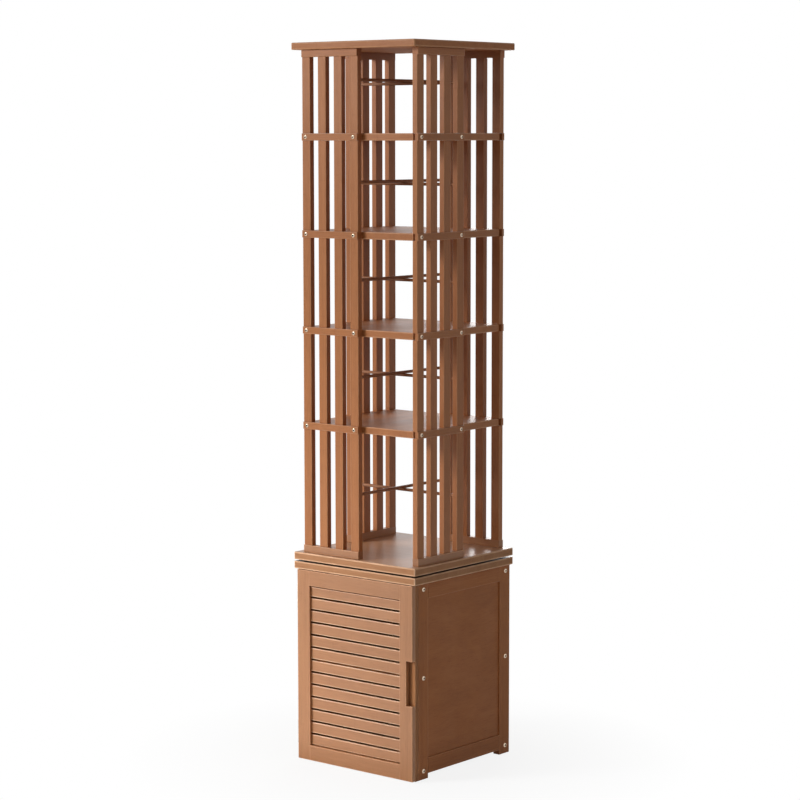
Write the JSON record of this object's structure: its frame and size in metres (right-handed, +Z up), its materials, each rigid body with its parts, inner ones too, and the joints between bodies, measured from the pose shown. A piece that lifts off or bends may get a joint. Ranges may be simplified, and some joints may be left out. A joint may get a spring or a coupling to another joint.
{
  "type": "revolving bookcase",
  "caption": "Tall square bookcase with slatted corner grilles that turns on a low cabinet with a louvred door.",
  "frame": {"origin": "on the floor, on the axis the tower turns about, at the middle of the base", "axes": "+Z up, -Y out of the door, +X to the right of someone facing the door"},
  "size_m": [0.4, 0.4, 1.83],
  "materials": {
    "board_wood": "semi-gloss brown stain",
    "shelf_wood": "semi-gloss brown stain",
    "grille_wood": "semi-gloss brown stain",
    "bar_wood": "semi-gloss brown stain",
    "panel_wood": "grooved, brown stain",
    "side_wood": "semi-gloss brown stain",
    "louvre_wood": "semi-gloss brown stain",
    "door_wood": "semi-gloss brown stain",
    "inner_wood": "satin brown stain",
    "turntable_steel": "zinc plated",
    "hinge_steel": "zinc plated",
    "catch_plastic": "matt"
  },
  "bodies": {
    "cabinet": {"cabinet_top": "board_wood", "back_panel": "inner_wood", "cabinet_floor": "inner_wood", "cabinet_shelf": "inner_wood", "front_stretcher": "inner_wood", "rear_stretcher": "inner_wood", "turntable_lower": "turntable_steel", "lower_hinge_fixed_leaf": "hinge_steel", "upper_hinge_fixed_leaf": "hinge_steel", "magnet_catch": "catch_plastic", "left_front_strip": "side_wood", "left_front_post": "side_wood", "left_rear_post": "side_wood", "left_base_rail": "side_wood", "left_top_rail": "side_wood", "left_panel": "panel_wood", "right_front_strip": "side_wood", "right_front_post": "side_wood", "right_rear_post": "side_wood", "right_base_rail": "side_wood", "right_top_rail": "side_wood", "right_panel": "panel_wood"},
    "door": {"door_hinge_stile": "door_wood", "door_pull_stile": "door_wood", "door_top_rail": "door_wood", "door_base_rail": "door_wood", "strike_plate": "hinge_steel", "lower_hinge_door_leaf": "hinge_steel", "upper_hinge_door_leaf": "hinge_steel", "door_louvre_01": "louvre_wood", "door_louvre_02": "louvre_wood", "door_louvre_03": "louvre_wood", "door_louvre_04": "louvre_wood", "door_louvre_05": "louvre_wood", "door_louvre_06": "louvre_wood", "door_louvre_07": "louvre_wood", "door_louvre_08": "louvre_wood", "door_louvre_09": "louvre_wood", "door_louvre_10": "louvre_wood", "door_louvre_11": "louvre_wood", "door_louvre_12": "louvre_wood", "door_louvre_13": "louvre_wood"},
    "ball_cage": {"ball_cage": "turntable_steel"},
    "tower": {"turntable_upper": "turntable_steel", "tower_base": "board_wood", "tower_top": "board_wood", "front_grille": "grille_wood", "right_grille": "grille_wood", "rear_grille": "grille_wood", "left_grille": "grille_wood", "shelf_1": "shelf_wood", "shelf_2": "shelf_wood", "shelf_3": "shelf_wood", "shelf_4": "shelf_wood", "book_stop_1": "bar_wood", "book_stop_2": "bar_wood", "book_stop_3": "bar_wood", "book_stop_4": "bar_wood", "book_stop_5": "bar_wood"}
  },
  "joints": [
    {"name": "tower_spin", "type": "hinge", "parent": "cabinet", "child": "tower", "pos_m": [0, 0, 0.5187], "axis": [0, 0, 1], "continuous": true},
    {"name": "cage_spin", "type": "hinge", "parent": "cabinet", "child": "ball_cage", "pos_m": [0, 0, 0.5187], "axis": [0, 0, 1], "continuous": true},
    {"name": "door_hinge", "type": "hinge", "parent": "cabinet", "child": "door", "pos_m": [-0.1932, -0.18675, 0.2485], "axis": [0, 0, -1], "range_deg": [0, 120]}
  ],
  "couplings": [
    {"joint": "cage_spin", "follows": "tower_spin", "ratio": 0.5}
  ]
}
